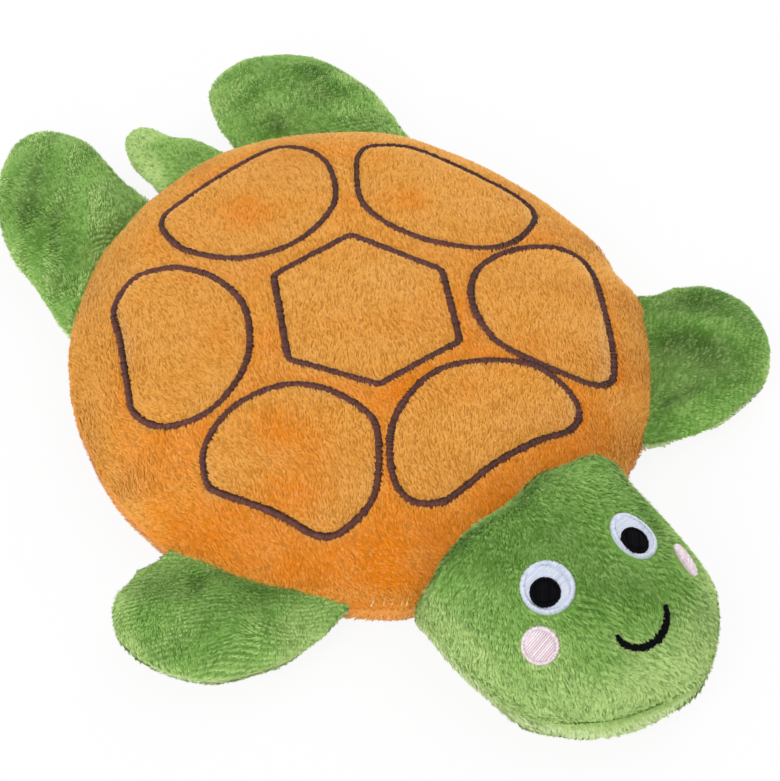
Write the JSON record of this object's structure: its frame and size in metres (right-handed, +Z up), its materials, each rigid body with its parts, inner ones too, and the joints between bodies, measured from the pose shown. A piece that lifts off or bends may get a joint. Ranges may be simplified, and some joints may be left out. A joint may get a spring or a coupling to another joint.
{
  "type": "plush turtle",
  "caption": "Flat stuffed plush turtle lying on its belly, with an embroidered shell and face and flippers, head and tail that bend at their seams.",
  "frame": {"origin": "on the ground under the middle of the shell, on the flat of its underside", "axes": "+X to the turtle's left, +Y from its head to its tail, +Z up"},
  "size_m": [0.1918, 0.2456, 0.0353],
  "materials": {
    "orange_plush": "short brushed plush with a soft, slightly patchy nap",
    "belly_plush": "short brushed plush, paler",
    "green_plush": "longer brushed plush, nap lying back, lighter at its edges",
    "lime_plush": "longer brushed plush, yellow-green",
    "brown_thread": "satin-stitch embroidery thread, slight sheen",
    "white_thread": "satin-stitch embroidery thread, slight sheen",
    "black_thread": "satin-stitch embroidery thread, slight sheen",
    "pink_thread": "satin-stitch embroidery thread, slight sheen",
    "cream_thread": "sewing thread",
    "stuffing": "loose polyester fibre"
  },
  "bodies": {
    "shell": {"shell_top_panel": "orange_plush", "shell_bottom_panel": "belly_plush", "shell_filling": "stuffing", "scute_line_centre": "brown_thread", "scute_line_rear": "brown_thread", "scute_line_front": "brown_thread", "scute_line_front_left": "brown_thread", "scute_line_front_right": "brown_thread", "scute_line_rear_left": "brown_thread", "scute_line_rear_right": "brown_thread", "closing_stitch_1": "cream_thread", "closing_stitch_2": "cream_thread", "closing_stitch_3": "cream_thread", "closing_stitch_4": "cream_thread", "closing_stitch_5": "cream_thread"},
    "head": {"head_top_panel": "green_plush", "head_bottom_panel": "lime_plush", "head_filling": "stuffing", "left_eye_white": "white_thread", "left_pupil": "black_thread", "left_cheek": "pink_thread", "right_eye_white": "white_thread", "right_pupil": "black_thread", "right_cheek": "pink_thread", "mouth": "black_thread"},
    "front_left_flipper": {"front_left_flipper_top_panel": "green_plush", "front_left_flipper_bottom_panel": "lime_plush", "front_left_flipper_filling": "stuffing"},
    "front_right_flipper": {"front_right_flipper_top_panel": "green_plush", "front_right_flipper_bottom_panel": "lime_plush", "front_right_flipper_filling": "stuffing"},
    "rear_left_flipper": {"rear_left_flipper_top_panel": "green_plush", "rear_left_flipper_bottom_panel": "lime_plush", "rear_left_flipper_filling": "stuffing"},
    "rear_right_flipper": {"rear_right_flipper_top_panel": "green_plush", "rear_right_flipper_bottom_panel": "lime_plush", "rear_right_flipper_filling": "stuffing"},
    "tail": {"tail_top_panel": "green_plush", "tail_bottom_panel": "lime_plush", "tail_filling": "stuffing"}
  },
  "joints": [
    {"name": "neck_nod", "type": "hinge", "parent": "shell", "child": "head", "pos_m": [-0.0054, -0.0806, 0.0088], "axis": [-1, 0, 0], "range_deg": [-30, 5], "stiffness_Nm_per_rad": 0.1},
    {"name": "front_left_flap", "type": "hinge", "parent": "shell", "child": "front_left_flipper", "pos_m": [0.05879, -0.05037, 0.0088], "axis": [-0.6013, -0.799, 0], "range_deg": [-30, 45], "stiffness_Nm_per_rad": 0.03},
    {"name": "front_right_flap", "type": "hinge", "parent": "shell", "child": "front_right_flipper", "pos_m": [-0.06325, -0.04373, 0.0088], "axis": [-0.5187, 0.855, 0], "range_deg": [-30, 45], "stiffness_Nm_per_rad": 0.03},
    {"name": "rear_left_flap", "type": "hinge", "parent": "shell", "child": "rear_left_flipper", "pos_m": [0.03892, 0.069, 0.0088], "axis": [0.8416, -0.5402, 0], "range_deg": [-30, 45], "stiffness_Nm_per_rad": 0.03},
    {"name": "rear_right_flap", "type": "hinge", "parent": "shell", "child": "rear_right_flipper", "pos_m": [-0.0388, 0.06908, 0.0088], "axis": [0.843, 0.5379, 0], "range_deg": [-30, 45], "stiffness_Nm_per_rad": 0.03},
    {"name": "tail_lift", "type": "hinge", "parent": "shell", "child": "tail", "pos_m": [0.00132, 0.08059, 0.0088], "axis": [0.9998, -0.0187, 0], "range_deg": [-30, 35], "stiffness_Nm_per_rad": 0.01}
  ]
}
